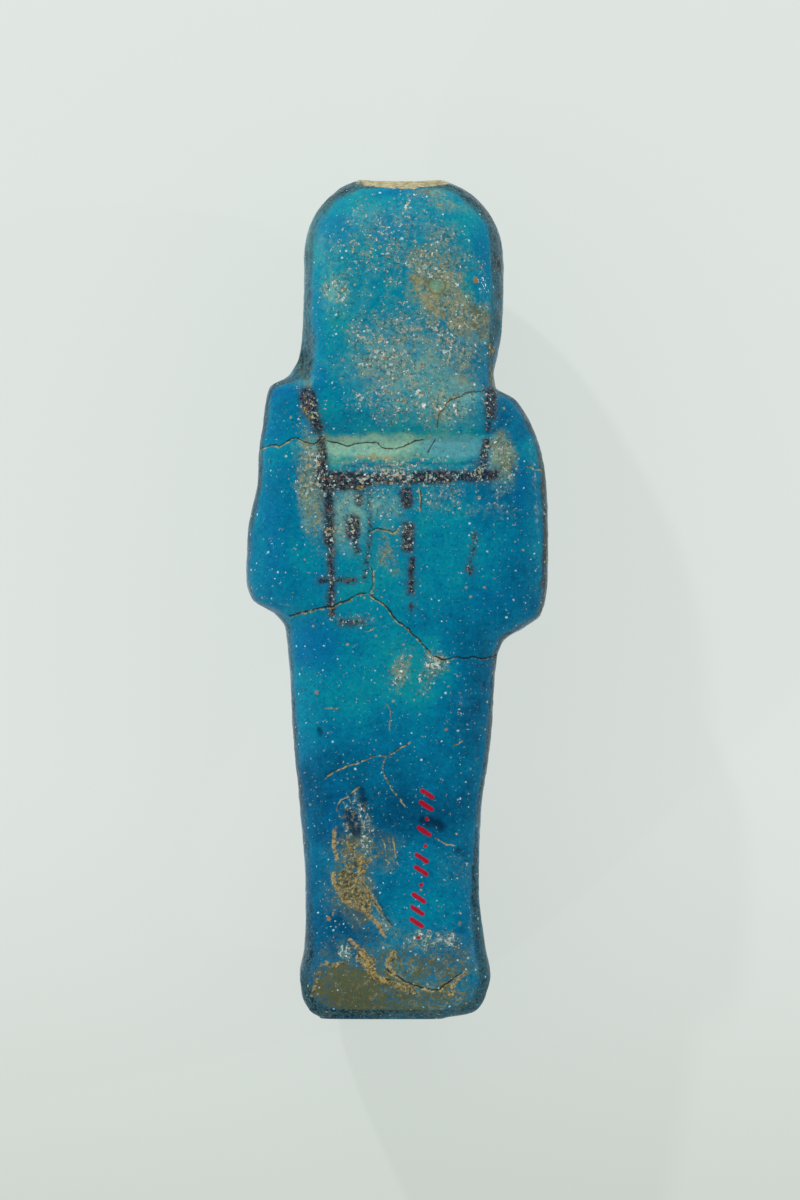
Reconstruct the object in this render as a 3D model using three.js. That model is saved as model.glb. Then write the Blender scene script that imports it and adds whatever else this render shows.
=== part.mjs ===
// A small ushabti of glazed faience: a wrapped figure with a long wig and crossed arms, pressed in a mould
// in one piece. It lies on its front with its back up.
// X is across the figure, Y runs from the foot base to the crown, and Z is up, from the toes to the back.
// The origin is on the surface it lies on, under the middle of the figure.
import * as THREE from "three";

// Driving sizes, in millimetres
const LENGTH = 116; // from the foot base to the crown
const WIDTH = 41.8; // from elbow to elbow
const THICKNESS = 28.3; // from the toes to the back of the wig

// The tables below give the proportions: they divide the length, the width and the thickness into this many
// parts, all of about the same size. A station is a number of parts above the foot base.
const PARTS = { length: 100, width: 36, thickness: 24.4 };

const COLOUR = new THREE.Color(0.01, 0.2, 0.29);

// Half widths to the figure's left and right of the middle line: [station above the foot base, left, right].
const OUTLINE = [
  [0, 9.2, 5.6], // foot base, its right corner worn
  [0.6, 10.2, 8.7],
  [1.5, 10.85, 9.85],
  [2.6, 11.35, 10.4],
  [5.2, 11.65, 11.0], // heel
  [8.6, 11.05, 10.4],
  [16, 10.9, 9.65], // ankle
  [24, 11.5, 9.9],
  [34, 12.45, 11.1], // knee
  [42, 12.9, 11.6],
  [45, 13.15, 12.5],
  [46.6, 13.4, 15.0], // under the right elbow
  [48, 14.4, 16.9],
  [50, 17.35, 17.55], // left elbow
  [52.4, 18.0, 17.8],
  [58, 17.75, 17.95],
  [64, 16.65, 17.7], // upper arms
  [68, 16.45, 16.95],
  [71.5, 15.9, 15.5],
  [73.6, 15.7, 14.1], // shoulders
  [75.2, 15.2, 11.6],
  [76.6, 12.9, 11.45], // neck
  [79, 11.65, 12.0],
  [82, 11.3, 12.45], // wig
  [88, 11.1, 12.6],
];

// Heights: [station, back, widest level, front].
const PROFILE = [
  [0, 18.8, 13.2, 3.6], // foot base
  [1.2, 20.8, 13.6, 1.1],
  [3.6, 21.9, 14.0, -0.6], // toes
  [6.4, 22.0, 14.4, -0.1],
  [9.6, 21.7, 14.8, 3.2], // instep
  [13, 21.5, 15.2, 6.2],
  [19, 21.6, 15.5, 7.1],
  [30, 22.0, 15.5, 6.3], // shins
  [42, 22.7, 15.5, 4.9],
  [56, 23.2, 15.7, 3.4], // waist
  [66, 23.2, 15.8, 3.5], // chest
  [72, 23.1, 15.6, 4.4],
  [77, 23.0, 15.0, 5.3], // neck
  [81, 23.0, 14.4, 4.9],
  [86, 23.1, 13.9, 4.4], // head
  [92, 23.0, 13.7, 4.4],
];

// Squareness of the sections, as the power of a superellipse: [station, back left, back right, front].
const SQUARENESS = [
  [0, 4.6, 4.6, 3.4],
  [8, 4.0, 4.4, 3.0],
  [16, 3.6, 4.6, 2.3],
  [50, 3.4, 5.0, 2.3],
  [72, 4.6, 4.8, 2.4],
  [82, 3.8, 4.2, 2.5],
  [100, 2.6, 2.6, 2.3],
];

// The line that the face, the chest and the shins are centred on: [station, offset to the right].
const MIDDLE = [
  [0, -0.3],
  [20, -0.7],
  [45, -0.6],
  [58, 0],
  [72, 0.3],
  [84, 0.7],
  [100, 0.7],
];

// The crown closes the head as a superellipse, and a worn spot cuts it off flat.
const CROWN = { start: 90, end: 100.6, power: 2.3, level: 13.9 };
const WORN_CROWN = { station: 100, level: 14, slope: 0.18 };

// The wig stands up from the back as a panel, and its lower edge is a ledge over a shallow hollow.
const WIG_PANEL = { bottom: 69.9, left: -9.9, right: 10.9, rise: 1.25, edge: 1.5 };
const HOLLOW = { middle: 0.6, station: 67.6, halfLength: 2.6, halfWidth: 10.8, even: 0.75, depth: 0.55 };

// Beside the wig, the tops of the shoulders fall from their station on and end at the sides of the head.
const SHOULDER_TOP = { station: 74.4, length: 4.5, end: 80, endLength: 4, inner: 9.6, fall: 4.2 };

// On the front, the wig frames the face and ends in two lappets on the chest.
const WIG_FRONT = { rise: 1.0, lappetEnd: 66.6, lappetSide: 10.4, lappetGap: 4.2, neck: 76.2, edge: 1.5 };
const FACE = { station: 83.2, halfWidth: 6.3, halfLength: 7.6, power: 2.6 };
const NECK = { out: 0, at: 74.2, wide: 5, long: 2.2, height: -1.1, turn: 0 }; // between the lappets

// Features of the face: out from its middle, station, half width, half length, height and turn in degrees.
const FACE_PAIRS = [
  { out: 2.75, at: 85.9, wide: 2.5, long: 1.7, height: -0.75, turn: 0 }, // eye sockets
  { out: 2.75, at: 85.7, wide: 1.95, long: 0.95, height: 0.62, turn: -6 }, // eyes
  { out: 2.7, at: 87.8, wide: 2.9, long: 0.8, height: 0.4, turn: -8 }, // brows
  { out: 3.2, at: 82.4, wide: 2.8, long: 3.2, height: 0.55, turn: 20 }, // cheeks
  { out: 1.1, at: 81.7, wide: 0.85, long: 0.8, height: 0.75, turn: 0 }, // wings of the nose
  { out: 6.5, at: 85.0, wide: 1.0, long: 2.3, height: 0.95, turn: 6 }, // ears
  { out: 6.45, at: 85.2, wide: 0.5, long: 1.3, height: -0.45, turn: 6 }, // hollows of the ears
];
const FACE_SINGLES = [
  { out: 0, at: 83, wide: 6.8, long: 8.4, height: 2.0, turn: 0 }, // the whole face
  { out: 0, at: 79.75, wide: 2.5, long: 0.85, height: 0.75, turn: 0 }, // upper lip
  { out: 0, at: 78.55, wide: 2.1, long: 0.8, height: 0.75, turn: 0 }, // lower lip
  { out: 0, at: 79.15, wide: 2.3, long: 0.35, height: -0.35, turn: 0 }, // line of the mouth
  { out: 0, at: 76.8, wide: 2.3, long: 1.5, height: 1.1, turn: 0 }, // chin
];
const NOSE = { bridge: 86.6, tip: 81.9, base: 81.0, bridgeWidth: 0.75, tipWidth: 1.35, height: 2.3 };

// Arms in half relief, from the elbow or shoulder to the wrist: the right forearm lies over the left one.
const ARMS = [
  { from: [-15.2, 51.8], to: [3.6, 62.3], radius: 3.1, height: 2.9 }, // left forearm
  { from: [15.2, 51.8], to: [-3.6, 61.8], radius: 3.1, height: 3.5 }, // right forearm
  { from: [-14.6, 71], to: [-15.6, 53], radius: 3.2, height: 1.5 }, // left upper arm
  { from: [14.6, 71], to: [15.6, 53], radius: 3.2, height: 1.5 }, // right upper arm
];
const FISTS = [
  { out: 5.6, at: 63.2, radius: 3.1, height: 4.0 }, // left fist, on the right of the chest
  { out: -5.6, at: 62.8, radius: 3.1, height: 4.0 }, // right fist, on the left of the chest
];
const SHIN_DIP = { from: 10, fadeIn: 5, to: 46, fadeOut: 8, halfWidth: 3.2, depth: 0.5 };

// Stations of the mesh, in bands: [where the band ends, steps in it].
const BANDS = [
  [1.2, 2],
  [14, 9],
  [45, 11],
  [52, 7],
  [66, 14],
  [69.4, 3],
  [71.2, 2],
  [77, 7],
  [90.2, 20],
  [98, 7],
  [100, 4],
];
const BACK_STEPS = 21;
const FRONT_STEPS = 35;
const AROUND = BACK_STEPS + FRONT_STEPS;
const FINE_STEPS = 240; // a section is drawn with this many steps on each half before it is divided
const CLOSER = { times: 3, from: 60, to: 70, halfWidth: 7.3 }; // the vertices are closer on the face
const END_CORNERS = [0.22, 0.78, 1.28, 1.72]; // where the large square of a flat end has its corners

const clamp = (value, low, high) => Math.min(high, Math.max(low, value));
const smooth = (low, high, value) => THREE.MathUtils.smoothstep(value, low, high);

// A smooth curve through rows of numbers that never overshoots them: row 0 is the station.
function curveThrough(rows, column) {
  const at = rows.map((row) => row[0]);
  const values = rows.map((row) => row[column]);
  const slopes = at.slice(1).map((a, i) => (values[i + 1] - values[i]) / (a - at[i]));
  const tangents = at.map((_, i) => {
    const before = slopes[i - 1];
    const after = slopes[i];
    if (before === undefined || after === undefined || before * after <= 0) return 0;
    return (2 * before * after) / (before + after);
  });
  return (station) => {
    if (station <= at[0]) return values[0];
    const i = at.findIndex((a) => station < a) - 1;
    if (i < 0) return values[values.length - 1];
    const step = at[i + 1] - at[i];
    const t = (station - at[i]) / step;
    return (
      values[i] * (1 + 2 * t) * (1 - t) ** 2 +
      tangents[i] * step * t * (1 - t) ** 2 +
      values[i + 1] * t * t * (3 - 2 * t) +
      tangents[i + 1] * step * t * t * (t - 1)
    );
  };
}

const halfWidths = { left: curveThrough(OUTLINE, 1), right: curveThrough(OUTLINE, 2) };
const backLine = curveThrough(PROFILE, 1);
const widestLine = curveThrough(PROFILE, 2);
const frontLine = curveThrough(PROFILE, 3);
const backPower = { left: curveThrough(SQUARENESS, 1), right: curveThrough(SQUARENESS, 2) };
const frontPower = curveThrough(SQUARENESS, 3);
const middleLine = curveThrough(MIDDLE, 1);

// How much of the head's width and depth is left at a station in the crown.
function crownShare(station) {
  const t = clamp((station - CROWN.start) / (CROWN.end - CROWN.start), 0, 1);
  return (1 - t ** CROWN.power) ** (1 / CROWN.power);
}

// A round-topped mound of height 1 inside an ellipse.
function mound(x, station, feature) {
  const turn = THREE.MathUtils.degToRad(feature.turn);
  const dx = x - feature.out;
  const dy = station - feature.at;
  const u = (dx * Math.cos(turn) + dy * Math.sin(turn)) / feature.wide;
  const v = (dy * Math.cos(turn) - dx * Math.sin(turn)) / feature.long;
  return Math.max(0, 1 - u * u - v * v) ** 1.5;
}

function noseRelief(x, station) {
  if (station < NOSE.base || station > NOSE.bridge) return 0;
  const down = clamp((NOSE.bridge - station) / (NOSE.bridge - NOSE.tip), 0, 1);
  const width = THREE.MathUtils.lerp(NOSE.bridgeWidth, NOSE.tipWidth, down);
  const under = smooth(NOSE.base, NOSE.tip, station);
  return NOSE.height * down ** 0.8 * under * Math.exp(-((x / width) ** 2));
}

function faceRelief(x, station) {
  let height = noseRelief(x, station);
  for (const feature of FACE_SINGLES) height += feature.height * mound(x, station, feature);
  for (const feature of FACE_PAIRS) height += feature.height * mound(Math.abs(x), station, feature);
  return height;
}

// 1 inside the opening of the wig, over the face and between the lappets.
function wigOpening(x, station) {
  const across = Math.abs(x / FACE.halfWidth) ** FACE.power;
  const along = Math.abs((station - FACE.station) / FACE.halfLength) ** FACE.power;
  const rim = WIG_FRONT.edge / FACE.halfWidth / 2;
  const face = 1 - smooth(1 - rim, 1 + rim, (across + along) ** (1 / FACE.power));
  const gap = 1 - smooth(WIG_FRONT.lappetGap, WIG_FRONT.lappetGap + WIG_FRONT.edge, Math.abs(x));
  return Math.max(face, gap * (1 - smooth(WIG_FRONT.neck, WIG_FRONT.neck + WIG_FRONT.edge, station)));
}

function wigRelief(x, station) {
  const { edge, lappetEnd, lappetSide, neck, rise } = WIG_FRONT;
  const side = 1 - smooth(lappetSide, lappetSide + edge, Math.abs(x));
  const lappets = side * smooth(lappetEnd, lappetEnd + edge, station);
  const covered = Math.max(lappets, smooth(neck - edge, neck + edge, station));
  return rise * covered * (1 - wigOpening(x, station));
}

// Height of a half-round limb between two points.
function limbRelief(x, station, arm) {
  const [ax, ay] = arm.from;
  const [bx, by] = arm.to;
  const run = [bx - ax, by - ay];
  const t = clamp(((x - ax) * run[0] + (station - ay) * run[1]) / (run[0] ** 2 + run[1] ** 2), 0, 1);
  const away = Math.hypot(x - ax - t * run[0], station - ay - t * run[1]) / arm.radius;
  return arm.height * Math.max(0, 1 - away ** 2) ** 0.9;
}

function fistRelief(x, station, fist) {
  const away = Math.hypot(x - fist.out, station - fist.at) / fist.radius;
  return fist.height * Math.max(0, 1 - away ** 3) ** 0.9;
}

function shinDip(x, station) {
  const { from, fadeIn, to, fadeOut, halfWidth, depth } = SHIN_DIP;
  const shins = smooth(from, from + fadeIn, station) * (1 - smooth(to - fadeOut, to, station));
  return depth * shins * Math.exp(-((x / halfWidth) ** 2));
}

// How far the carving stands out of the front.
function frontRelief(offset, station) {
  const x = offset - middleLine(station);
  const neck = NECK.height * mound(x, station, NECK);
  const limbs = Math.max(
    ...ARMS.map((arm) => limbRelief(x, station, arm)),
    ...FISTS.map((fist) => fistRelief(x, station, fist)),
  );
  return faceRelief(x, station) + wigRelief(x, station) + limbs + neck - shinDip(x, station);
}

function panelRelief(x, station) {
  const { bottom, left, right, rise, edge } = WIG_PANEL;
  const sides = smooth(left - edge, left, x) * (1 - smooth(right, right + edge, x));
  return rise * smooth(bottom, bottom + 1, station) * sides;
}

function hollowDepth(x, station) {
  const across = 1 - smooth(HOLLOW.even, 1, Math.abs((x - HOLLOW.middle) / HOLLOW.halfWidth));
  return HOLLOW.depth * across * Math.max(0, 1 - ((station - HOLLOW.station) / HOLLOW.halfLength) ** 2);
}

function shoulderFall(x, station) {
  const { station: start, length, end, endLength, inner, fall } = SHOULDER_TOP;
  const top = smooth(start, start + length, station) * (1 - smooth(end, end + endLength, station));
  return fall * top * smooth(inner, inner + 2 * WIG_PANEL.edge, Math.abs(x - middleLine(station)));
}

// How far the wig stands out of the back, less the hollow under it and the fall of the shoulders.
function backRelief(x, station) {
  return panelRelief(x, station) - hollowDepth(x, station) - shoulderFall(x, station);
}

// One point of a section: turn runs from 0 at the left edge, over the back to 1 at the right edge, and on
// round the front to 2. The carving is left off where it would only shift the other points.
function sectionPoint(station, turn, carved) {
  const share = crownShare(station);
  const angle = Math.PI * turn;
  const side = Math.cos(angle) > 0 ? "left" : "right";
  const onBack = turn <= 1;
  const power = onBack ? backPower[side](station) : frontPower(station);
  const across = Math.abs(Math.cos(angle)) ** (2 / power);
  const up = Math.abs(Math.sin(angle)) ** (2 / power);
  const x = (side === "left" ? -1 : 1) * across * halfWidths[side](station) * share;
  const widest = THREE.MathUtils.lerp(CROWN.level, widestLine(station), share);
  const line = onBack ? backLine(station) : frontLine(station);
  const reach = THREE.MathUtils.lerp(CROWN.level, line, share) - widest;
  const relief = onBack ? backRelief(x, station) : -frontRelief(x, station);
  const z = widest + up * (reach + (carved ? relief * Math.min(1, share * 1.5) : 0));
  return [x, Math.max(0, z)];
}

// Half a section, divided into steps of even length, where a length on the face counts for more.
function halfSection(station, start, steps) {
  const fine = [];
  for (let i = 0; i <= FINE_STEPS; i++) fine.push(sectionPoint(station, start + i / FINE_STEPS, false));
  const travelled = [0];
  for (let i = 1; i <= FINE_STEPS; i++) {
    const [x, z] = fine[i];
    const away = Math.abs(x - middleLine(station)) / CLOSER.halfWidth;
    const onFace = start * smooth(CLOSER.from, CLOSER.to, station) * (1 - smooth(0.8, 1.2, away));
    const step = Math.hypot(x - fine[i - 1][0], z - fine[i - 1][1]);
    travelled.push(travelled[i - 1] + step * (1 + onFace * (CLOSER.times - 1)));
  }
  return Array.from({ length: steps }, (_, k) => {
    const wanted = (travelled[FINE_STEPS] * k) / steps;
    const i = Math.max(1, travelled.findIndex((t) => t >= wanted));
    const part = (wanted - travelled[i - 1]) / (travelled[i] - travelled[i - 1]);
    return sectionPoint(station, start + (i - 1 + part) / FINE_STEPS, true);
  });
}

function stations() {
  const found = [0];
  for (const [end, steps] of BANDS) {
    const start = found[found.length - 1];
    for (let i = 1; i <= steps; i++) found.push(start + ((end - start) * i) / steps);
  }
  return found;
}

function wornCrown(z) {
  return WORN_CROWN.station - WORN_CROWN.slope * Math.max(0, z - WORN_CROWN.level);
}

// A flat end on a ring of points: a large square between its four corners, and a fan from each corner over
// the rest.
function endFaces(first) {
  const corners = END_CORNERS.map((turn) => first + cornerIndex(turn));
  const [a, b, c, d] = corners;
  const faces = [a, b, c, a, c, d];
  corners.forEach((corner, i) => {
    const next = corners[(i + 1) % 4];
    const steps = (next - corner + AROUND) % AROUND;
    const along = (k) => first + ((corner - first + k) % AROUND);
    for (let k = 1; k < steps; k++) faces.push(corner, along(k), along(k + 1));
  });
  return faces;
}

function cornerIndex(turn) {
  return turn <= 1 ? Math.round(turn * BACK_STEPS) : BACK_STEPS + Math.round((turn - 1) * FRONT_STEPS);
}

// A closed body from section to section, with flat ends. Between sections, each four points are joined along
// the shorter diagonal, which keeps the carving's edges clean.
function figureGeometry() {
  const rings = stations().map((station) => {
    const section = [...halfSection(station, 0, BACK_STEPS), ...halfSection(station, 1, FRONT_STEPS)];
    const along = (z) => Math.min(station, wornCrown(z)) - PARTS.length / 2;
    return section.map(([x, z]) => new THREE.Vector3(x, along(z), z));
  });
  const points = rings.flat();
  const faces = [];
  for (let i = 0; i + 1 < rings.length; i++)
    for (let j = 0; j < AROUND; j++) {
      const a = i * AROUND + j;
      const b = i * AROUND + ((j + 1) % AROUND);
      const [c, d] = [a + AROUND, b + AROUND];
      const split = points[a].distanceTo(points[d]) < points[b].distanceTo(points[c]);
      faces.push(...(split ? [a, b, d, a, d, c] : [a, b, c, b, d, c]));
    }
  faces.push(...endFaces(0).reverse(), ...endFaces(points.length - AROUND));
  const scale = new THREE.Vector3(WIDTH / PARTS.width, LENGTH / PARTS.length, THICKNESS / PARTS.thickness);
  const scaled = points.map((p) => p.multiply(scale));
  return new THREE.BufferGeometry().setFromPoints(scaled).setIndex(faces);
}

const glazedFaience = new THREE.MeshStandardMaterial({ color: COLOUR, roughness: 0.3, metalness: 0 });

const ushabti = new THREE.Mesh(figureGeometry(), glazedFaience);
ushabti.name = "ushabti";

const figure = new THREE.Group();
figure.add(ushabti);

export default figure;
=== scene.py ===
"""A small ushabti of worn, bright blue glazed faience, lying on its front with its back up.

The form follows the solid's own curves on a finer grid. Wear, cracks, crusts and paint are placed by lists of
named spots and lines, in millimetres from the middle of the figure: x to the right, y towards the head.
"""

import math

import bpy
import numpy as np
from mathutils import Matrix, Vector


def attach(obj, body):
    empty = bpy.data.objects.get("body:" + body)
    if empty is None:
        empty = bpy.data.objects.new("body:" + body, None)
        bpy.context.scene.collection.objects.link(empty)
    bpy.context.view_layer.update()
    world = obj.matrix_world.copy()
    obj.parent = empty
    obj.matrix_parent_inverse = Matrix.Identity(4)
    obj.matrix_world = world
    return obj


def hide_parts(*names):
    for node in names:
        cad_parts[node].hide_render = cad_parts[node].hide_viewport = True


# Driving sizes, in millimetres, as in the solid
LENGTH = 116.0
WIDTH = 41.8
THICKNESS = 28.3
PARTS = (36.0, 100.0, 24.4)  # the tables below divide the width, the length and the thickness into this many

# The form, in parts

OUTLINE = [  # station, left half width, right half width
    (0, 9.2, 5.6),
    (0.6, 10.2, 8.7),
    (1.5, 10.85, 9.85),
    (2.6, 11.35, 10.4),
    (5.2, 11.65, 11),
    (8.6, 11.05, 10.4),
    (16, 10.9, 9.65),
    (24, 11.5, 9.9),
    (34, 12.45, 11.1),
    (42, 12.9, 11.6),
    (45, 13.15, 12.5),
    (46.6, 13.4, 15),
    (48, 14.4, 16.9),
    (50, 17.35, 17.55),
    (52.4, 18, 17.8),
    (58, 17.75, 17.95),
    (64, 16.65, 17.7),
    (68, 16.45, 16.95),
    (71.5, 15.9, 15.5),
    (73.6, 15.7, 14.1),
    (75.2, 15.2, 11.6),
    (76.6, 12.9, 11.45),
    (79, 11.65, 12),
    (82, 11.3, 12.45),
    (88, 11.1, 12.6),
]
PROFILE = [  # station, back, widest level, front
    (0, 18.8, 13.2, 3.6),
    (1.2, 20.8, 13.6, 1.1),
    (3.6, 21.9, 14, -0.6),
    (6.4, 22, 14.4, -0.1),
    (9.6, 21.7, 14.8, 3.2),
    (13, 21.5, 15.2, 6.2),
    (19, 21.6, 15.5, 7.1),
    (30, 22, 15.5, 6.3),
    (42, 22.7, 15.5, 4.9),
    (56, 23.2, 15.7, 3.4),
    (66, 23.2, 15.8, 3.5),
    (72, 23.1, 15.6, 4.4),
    (77, 23, 15, 5.3),
    (81, 23, 14.4, 4.9),
    (86, 23.1, 13.9, 4.4),
    (92, 23, 13.7, 4.4),
]
SQUARENESS = [  # station, back left, back right, front
    (0, 4.6, 4.6, 3.4),
    (8, 4, 4.4, 3),
    (16, 3.6, 4.6, 2.3),
    (50, 3.4, 5, 2.3),
    (72, 4.6, 4.8, 2.4),
    (82, 3.8, 4.2, 2.5),
    (100, 2.6, 2.6, 2.3),
]
MIDDLE = [(0, -0.3), (20, -0.7), (45, -0.6), (58, 0), (72, 0.3), (84, 0.7), (100, 0.7)]
CROWN = dict(start=90, end=100.6, power=2.3, level=13.9)
WORN_CROWN = dict(station=100, level=14, slope=0.18)
WIG_PANEL = dict(bottom=69.9, left=-9.9, right=10.9, rise=1.25, edge=1.5, tilt=0.012)
WIG_WAVES = [(0.1, 0.9, 0), (0.07, 2.3, 1)]  # waves of its lower edge: height, rate, shift
WIG_LEDGE = [(0.35, 0.6), (0.65, 2.8)]  # share of the rise, and the run over which it rises
HOLLOW = dict(middle=0.6, station=67.6, half_length=2.6, half_width=10.8, depth=0.55)
SHOULDER_TOP = dict(station=74.4, fall=4.2, length=4.5, inner=9.6, end=80, gone=84)
WIG_FRONT = dict(rise=1.0, lappet_end=66.6, lappet_side=10.4, lappet_gap=4.2, neck=76.2, edge=0.8)
FACE = dict(station=83.2, half_width=6.3, half_length=7.6, power=2.6)
NECK = (0, 74.2, 5, 2.2, 1.1)  # a dip, with the numbers of a mound in the face
FACE_PAIRS = [  # out from the middle, station, half width, half length, height, turn in degrees if any
    (2.75, 85.9, 2.5, 1.7, -0.75),  # eye sockets
    (2.75, 85.7, 1.95, 0.95, 0.62, -6),  # eyes
    (2.7, 87.8, 2.9, 0.8, 0.4, -8),  # brows
    (3.2, 82.4, 2.8, 3.2, 0.55, 20),  # cheeks
    (1.1, 81.7, 0.85, 0.8, 0.75),  # wings of the nose
    (6.5, 85, 1, 2.3, 0.95, 6),  # ears
    (6.45, 85.2, 0.5, 1.3, -0.45, 6),  # hollows of the ears
]
FACE_SINGLES = [
    (0, 83, 6.8, 8.4, 2),  # the whole face
    (0, 79.75, 2.5, 0.85, 0.75),  # upper lip
    (0, 78.55, 2.1, 0.8, 0.75),  # lower lip
    (0, 79.15, 2.3, 0.35, -0.35),  # line of the mouth
    (0, 76.8, 2.3, 1.5, 1.1),  # chin
]
NOSE = dict(bridge=86.6, tip=81.9, base=81.0, bridge_width=0.75, tip_width=1.35, height=2.3)
ARMS = [  # from, to, radius, height
    ((-15.2, 51.8), (3.6, 62.3), 3.1, 2.9),
    ((15.2, 51.8), (-3.6, 61.8), 3.1, 3.5),
    ((-14.6, 71), (-15.6, 53), 3.2, 1.5),
    ((14.6, 71), (15.6, 53), 3.2, 1.5),
]
FISTS = [(5.6, 63.2, 3.1, 4), (-5.6, 62.8, 3.1, 4)]
SHIN_DIP = dict(start=10, end=46, half_width=3.2, depth=0.5)

# Rows of the grid: (where a band ends, steps in it), then the steps round the back and the front.
BANDS = [(1.5, 9), (66, 186), (71.4, 24), (97.5, 88), (100, 16)]
BACK_STEPS = 172
FRONT_STEPS = 132
FINE_STEPS = 900  # steps that each side of a section is measured with
FACE_CLOSER = 2  # how many times closer the points stand on the face

# The wear and the paint, in millimetres

CRACKS = [  # width, how much tan shows along it, points
    (0.24, 0.9, [(-15, -2.5), (-13.8, -2.1), (-12.5, -1.8), (-11.4, -1.5), (-10.2, -1.3), (-9.1, -1.3),
                 (-8, -0.7), (-6.8, -0.3), (-5.7, 0.4), (-5, 0.7), (-4, 0.8)]),
    (0.17, 1, [(-4, 0.8), (-2.9, -0.1), (-1.9, -0.7), (-1.1, -1.5), (-0.5, -2.4), (0.3, -3.2), (1.7, -4.1),
                 (2.6, -5.3), (3.7, -6.5), (4.9, -7.8)]),
    (0.22, 0.35, [(4.9, -7.8), (6.3, -8.3), (7.9, -8), (9.2, -8.2), (10.2, -7.9), (11.6, -8.1), (13, -8),
                  (13.8, -7.6)]),
    (0.14, 1, [(-19.2, 20.3), (-17.5, 21), (-16.3, 20.9), (-14.6, 22), (-14, 22.1), (-12.3, 21.3),
                 (-11.4, 21.2), (-10.6, 21.9)]),
    (0.15, 0.35, [(-10.6, 21.9), (-9, 21.5), (-6.9, 21), (-5.4, 21.3), (-3, 21.5), (-2.1, 20.7),
                  (-0.9, 20.5), (0.6, 20.8), (1.8, 21.2), (2.7, 21.8), (4.1, 21.9)]),
    (0.14, 0.2, [(5.3, 21.9), (4.6, 20.8), (4.1, 19.8)]),
    (0.13, 1, [(-3.9, 0.8), (-3.2, 1.6), (-3.4, 3), (-3.7, 4.7)]),
    (0.14, 1, [(-3.5, 9.2), (-2.8, 9.7), (-1.9, 9.5), (-0.6, 9.1), (0.3, 9.7)]),
    (0.10, 1, [(-2.6, 4.4), (-1.9, 6), (-1.2, 7.6)]),
    (0.14, 1.2, [(3, 15.3), (3.2, 13.6), (3.2, 12)]),
    (0.13, 0.9, [(12.5, 29.5), (11.7, 28.6), (9.5, 28.1), (8.6, 27.7), (7.2, 27.2), (6.4, 26), (5.7, 24.9),
                 (5.3, 23.1)]),
    (0.12, 1.2, [(17.6, 18.3), (19, 17.9), (20.3, 17.8)]),
    (0.12, 1.2, [(-10.4, -25), (-9, -23.8), (-7.1, -23), (-5, -22.5), (-3.1, -21.6), (-1.5, -21.6),
                 (-0.5, -21.1), (0.6, -20.2), (1.9, -19.5)]),
    (0.11, 1.2, [(-1.4, -21.9), (-1.8, -23.2), (-1.5, -24.3), (-0.8, -25.9), (0.6, -27.5), (1.1, -28.8)]),
    (0.10, 0.6, [(-1.8, -14.3), (-0.9, -15.6), (-1, -18.5)]),
    (0.10, 1.2, [(7.4, -20.3), (8.2, -19.8), (9, -19.3)]),
    (0.10, 1, [(-10, -14.9), (-9.1, -15.1), (-8, -15.1)]),
    (0.12, 0.9, [(-4.4, -4.6), (-3.8, -4.4), (-3, -3.9)]),
    (0.12, 1.1, [(-5.2, -26), (-6.6, -27.2), (-8, -28.1), (-8.2, -29.4)]),
    (0.12, 0.9, [(-5, -27.9), (-4.4, -29), (-3.7, -30.3)]),
    (0.10, 1, [(5, -32.7), (6.7, -33.6), (8.1, -33.9)]),
    (0.10, 1.2, [(-2, -32.9), (-1.6, -34.8), (-1, -36.6)]),
    (0.10, 1.2, [(-0.6, -32.7), (-0.3, -34.5), (0.2, -36.6)]),
    (0.12, 0.6, [(-5, -38.4), (-4.2, -40), (-3.8, -41.4), (-2.6, -42.6), (-1.6, -44.1), (-0.4, -45.5)]),
    (0.22, 1, [(-1.6, -51), (0.7, -52.4), (3.2, -53.5), (5.5, -53.8), (7.8, -52.4), (9.2, -51.5)]),
]

PAINT = [  # half width, strength, points
    (1, 1, [(-12.4, 28), (-11.9, 26)]),
    (0.8, 1, [(-11.9, 26), (-11, 23.6)]),
    (0.5, 1, [(-10.6, 21.9), (-10.4, 19.8)]),
    (0.8, 1, [(-10.4, 19.6), (-10.2, 16.5)]),
    (0.8, 0.9, [(12.8, 28.2), (12.9, 25.4)]),
    (0.45, 0.5, [(12.5, 24.3), (12.5, 23.4)]),
    (0.55, 0.8, [(12.3, 21.5), (11.8, 19.1), (11.4, 17.4)]),
    (1.25, 1, [(-10, 16.1), (-7.9, 16.2), (-4.8, 16.1)]),
    (0.85, 0.95, [(-4.5, 16.4), (1.7, 16.5), (7.3, 16.8)]),
    (0.75, 0.8, [(7.3, 16.8), (11.4, 16.9), (13.2, 16.9)]),
    (0.65, 0.95, [(-9.4, 16.4), (-9.4, 7.9)]),
    (0.4, 0.9, [(-9.1, 7.9), (-9.1, 2.6), (-9.1, -2.1)]),
    (0.45, 0.9, [(-5.3, 14), (-5.3, 13.1)]),
    (0.85, 1, [(-6.2, 10.6), (-6.1, 8.8)]),
    (0.35, 0.7, [(-6, 7.9), (-5.6, 6.4)]),
    (0.3, 0.45, [(-3.9, 14.6), (-3.6, 9.6), (-4.5, 3)]),
    (0.85, 0.9, [(1.2, 14.3), (1.3, 13.2)]),
    (0.75, 1, [(1.5, 9.8), (1.5, 7.1)]),
    (0.42, 0.85, [(1.9, 5.2), (1.8, 1)]),
    (0.3, 0.7, [(2, -0.9), (2, -1.3)]),
    (0.22, 0.45, [(10.6, 8.8), (10.3, 6.4), (10, 4.1)]),
    (0.45, 0.7, [(9.95, 4.2), (9.9, 3.8)]),
    (0.3, 0.85, [(-10.6, 2.4), (-8.2, 2.5), (-5.9, 2.6)]),
    (0.34, 0.8, [(-7.8, -3.4), (-6.3, -3.4), (-4.8, -3.2)]),
]

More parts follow.
